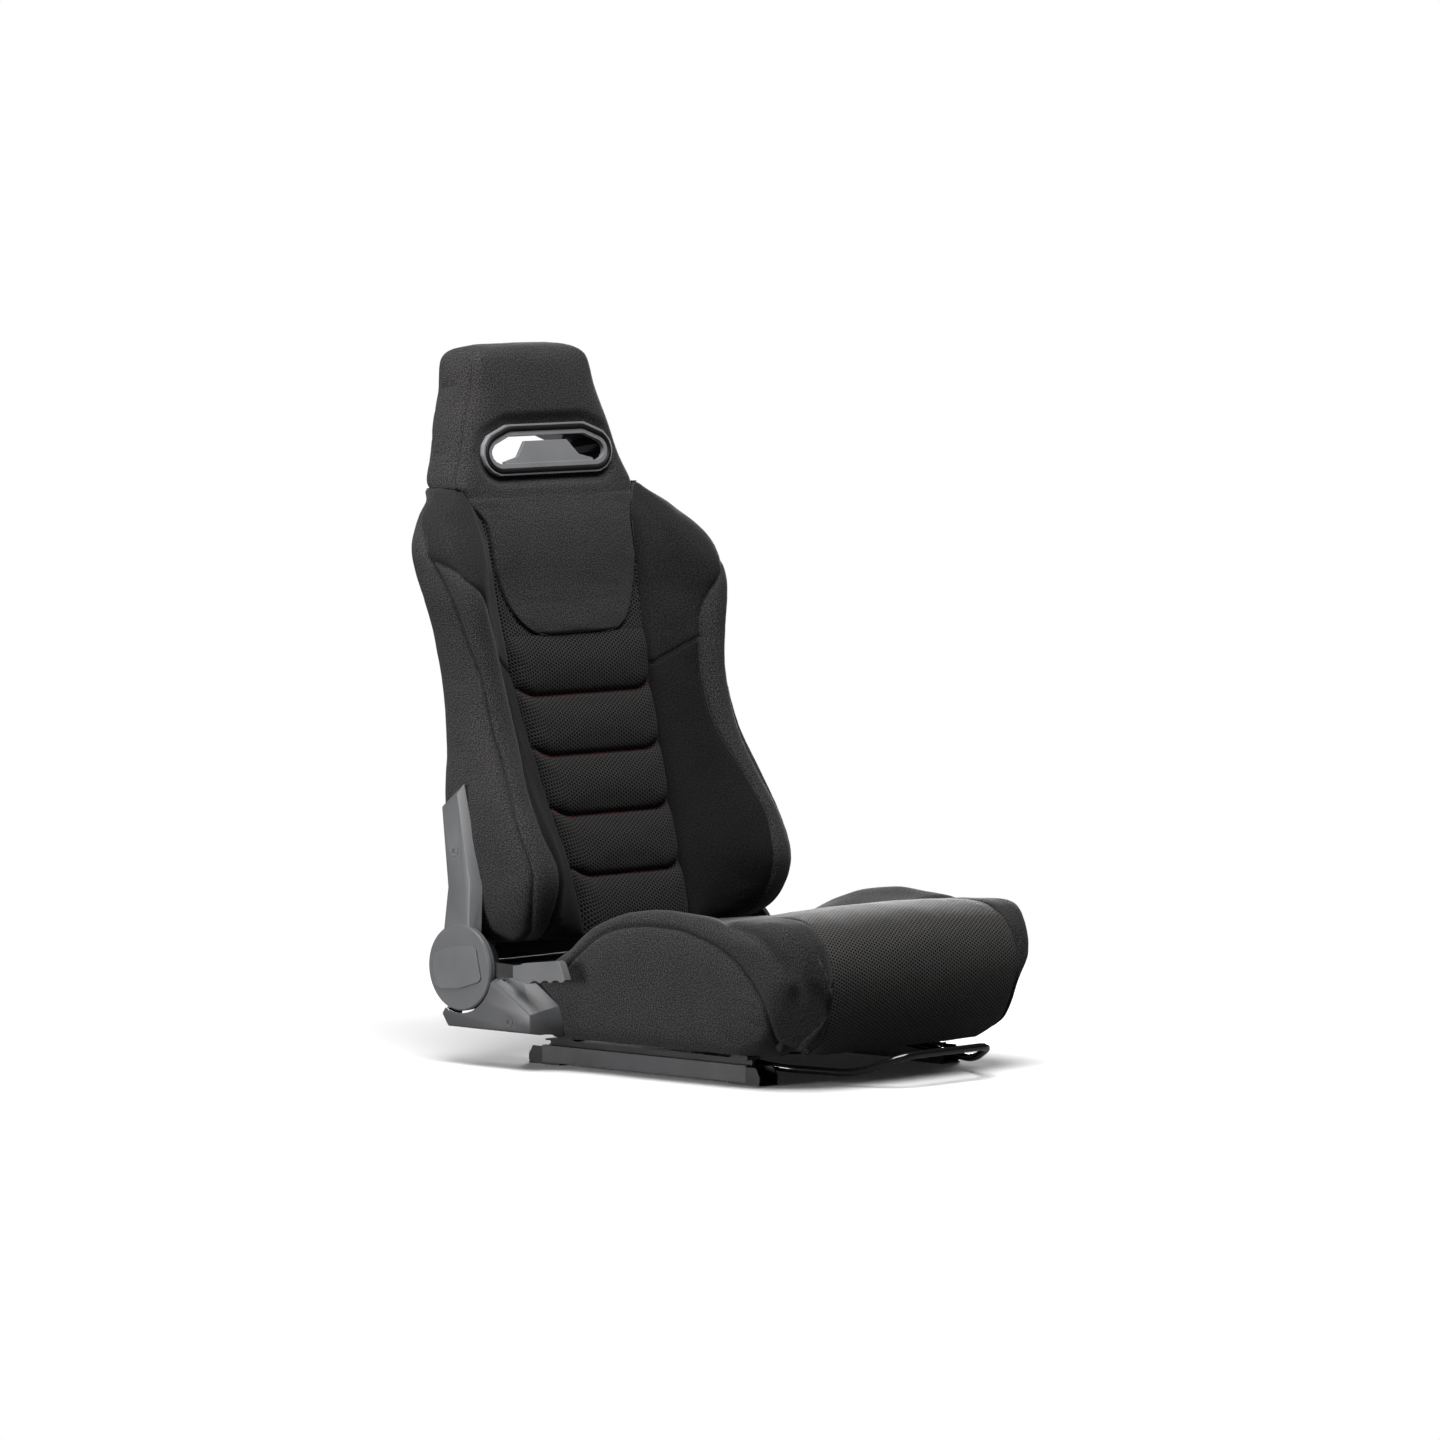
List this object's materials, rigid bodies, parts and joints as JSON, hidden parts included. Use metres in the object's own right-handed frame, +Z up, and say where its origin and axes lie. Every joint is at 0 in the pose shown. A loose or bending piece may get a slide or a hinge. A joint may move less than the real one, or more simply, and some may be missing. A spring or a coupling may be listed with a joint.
{
  "type": "racing seat",
  "caption": "Reclining racing seat with bolstered back and cushion, headrest slot, recliner lever and sliding floor rails with a front release bar.",
  "frame": {"origin": "on the floor, midway between the two slide rails and at the middle of their length", "axes": "+Z up, the seat faces -Y, +Y is to the rear and +X is the sitter's left"},
  "size_m": [0.56, 0.828, 0.936],
  "materials": {
    "rail_steel": "satin grey coated steel",
    "black_steel": "satin black paint",
    "bare_steel": "bare turned steel",
    "grey_plastic": "satin grey moulding with a fine grain",
    "mesh": "coarse open mesh fabric over foam, matt",
    "bright_knit": "fine knitted near-black fabric with a dry, matt face",
    "gloss_black": "gloss black coating",
    "light_grey_plastic": "satin light grey moulding",
    "rear_shell": "grained black moulding",
    "sleeve_plastic": "gloss black moulding"
  },
  "bodies": {
    "rails": {"lower_rail_right": "rail_steel", "lower_rail_left": "rail_steel", "floor_feet": "black_steel"},
    "ball_cages": {"slide_balls": "bare_steel"},
    "seat": {"upper_rail_right": "black_steel", "upper_rail_left": "black_steel", "rail_brackets": "black_steel", "rail_bolts": "bare_steel", "seat_frame": "black_steel", "seat_spring_wires": "black_steel", "recliner_bracket_right": "black_steel", "recliner_bracket_left": "black_steel", "recliner_base_right": "black_steel", "recliner_base_left": "black_steel", "lower_cover_right": "grey_plastic", "lower_cover_left": "grey_plastic", "seat_cushion": "mesh", "thigh_bolster_right": "bright_knit", "thigh_bolster_left": "bright_knit", "bar_pins": "bare_steel", "base_screws": "grey_plastic"},
    "backrest": {"recliner_rotor_right": "black_steel", "recliner_rotor_left": "black_steel", "arm_plate_right": "black_steel", "arm_plate_left": "black_steel", "arm_cover_right": "grey_plastic", "arm_cover_left": "grey_plastic", "badge_plate_right": "grey_plastic", "badge_plate_left": "grey_plastic", "back_frame": "black_steel", "back_wires": "black_steel", "back_core": "bright_knit", "back_pad": "mesh", "back_bolster_right": "bright_knit", "back_bolster_left": "bright_knit", "rear_cover": "rear_shell", "slot_sleeve": "sleeve_plastic", "slot_ring_front": "light_grey_plastic", "slot_ring_rear": "sleeve_plastic", "arm_screws": "grey_plastic"},
    "lever": {"recline_shaft": "bare_steel", "recline_lever": "black_steel", "lever_grip": "light_grey_plastic"},
    "bar": {"adjuster_bar": "gloss_black"}
  },
  "joints": [
    {"name": "seat_slide", "type": "slide", "parent": "rails", "child": "seat", "axis": [0, 1, 0], "range_m": [-0.09, 0.09]},
    {"name": "cage_slide", "type": "slide", "parent": "rails", "child": "ball_cages", "axis": [0, 1, 0], "range_m": [-0.045, 0.045]},
    {"name": "back_recline", "type": "hinge", "parent": "seat", "child": "backrest", "pos_m": [0, 0.253, 0.1285], "axis": [1, 0, 0], "range_deg": [-60, 24]},
    {"name": "lever_lift", "type": "hinge", "parent": "seat", "child": "lever", "pos_m": [0, 0.253, 0.1285], "axis": [1, 0, 0], "range_deg": [-18, 0], "stiffness_Nm_per_rad": 3},
    {"name": "bar_lift", "type": "hinge", "parent": "seat", "child": "bar", "pos_m": [0, -0.112, 0.03], "axis": [1, 0, 0], "range_deg": [-5, 0], "stiffness_Nm_per_rad": 20}
  ],
  "couplings": [
    {"joint": "cage_slide", "follows": "seat_slide", "ratio": 0.5}
  ]
}
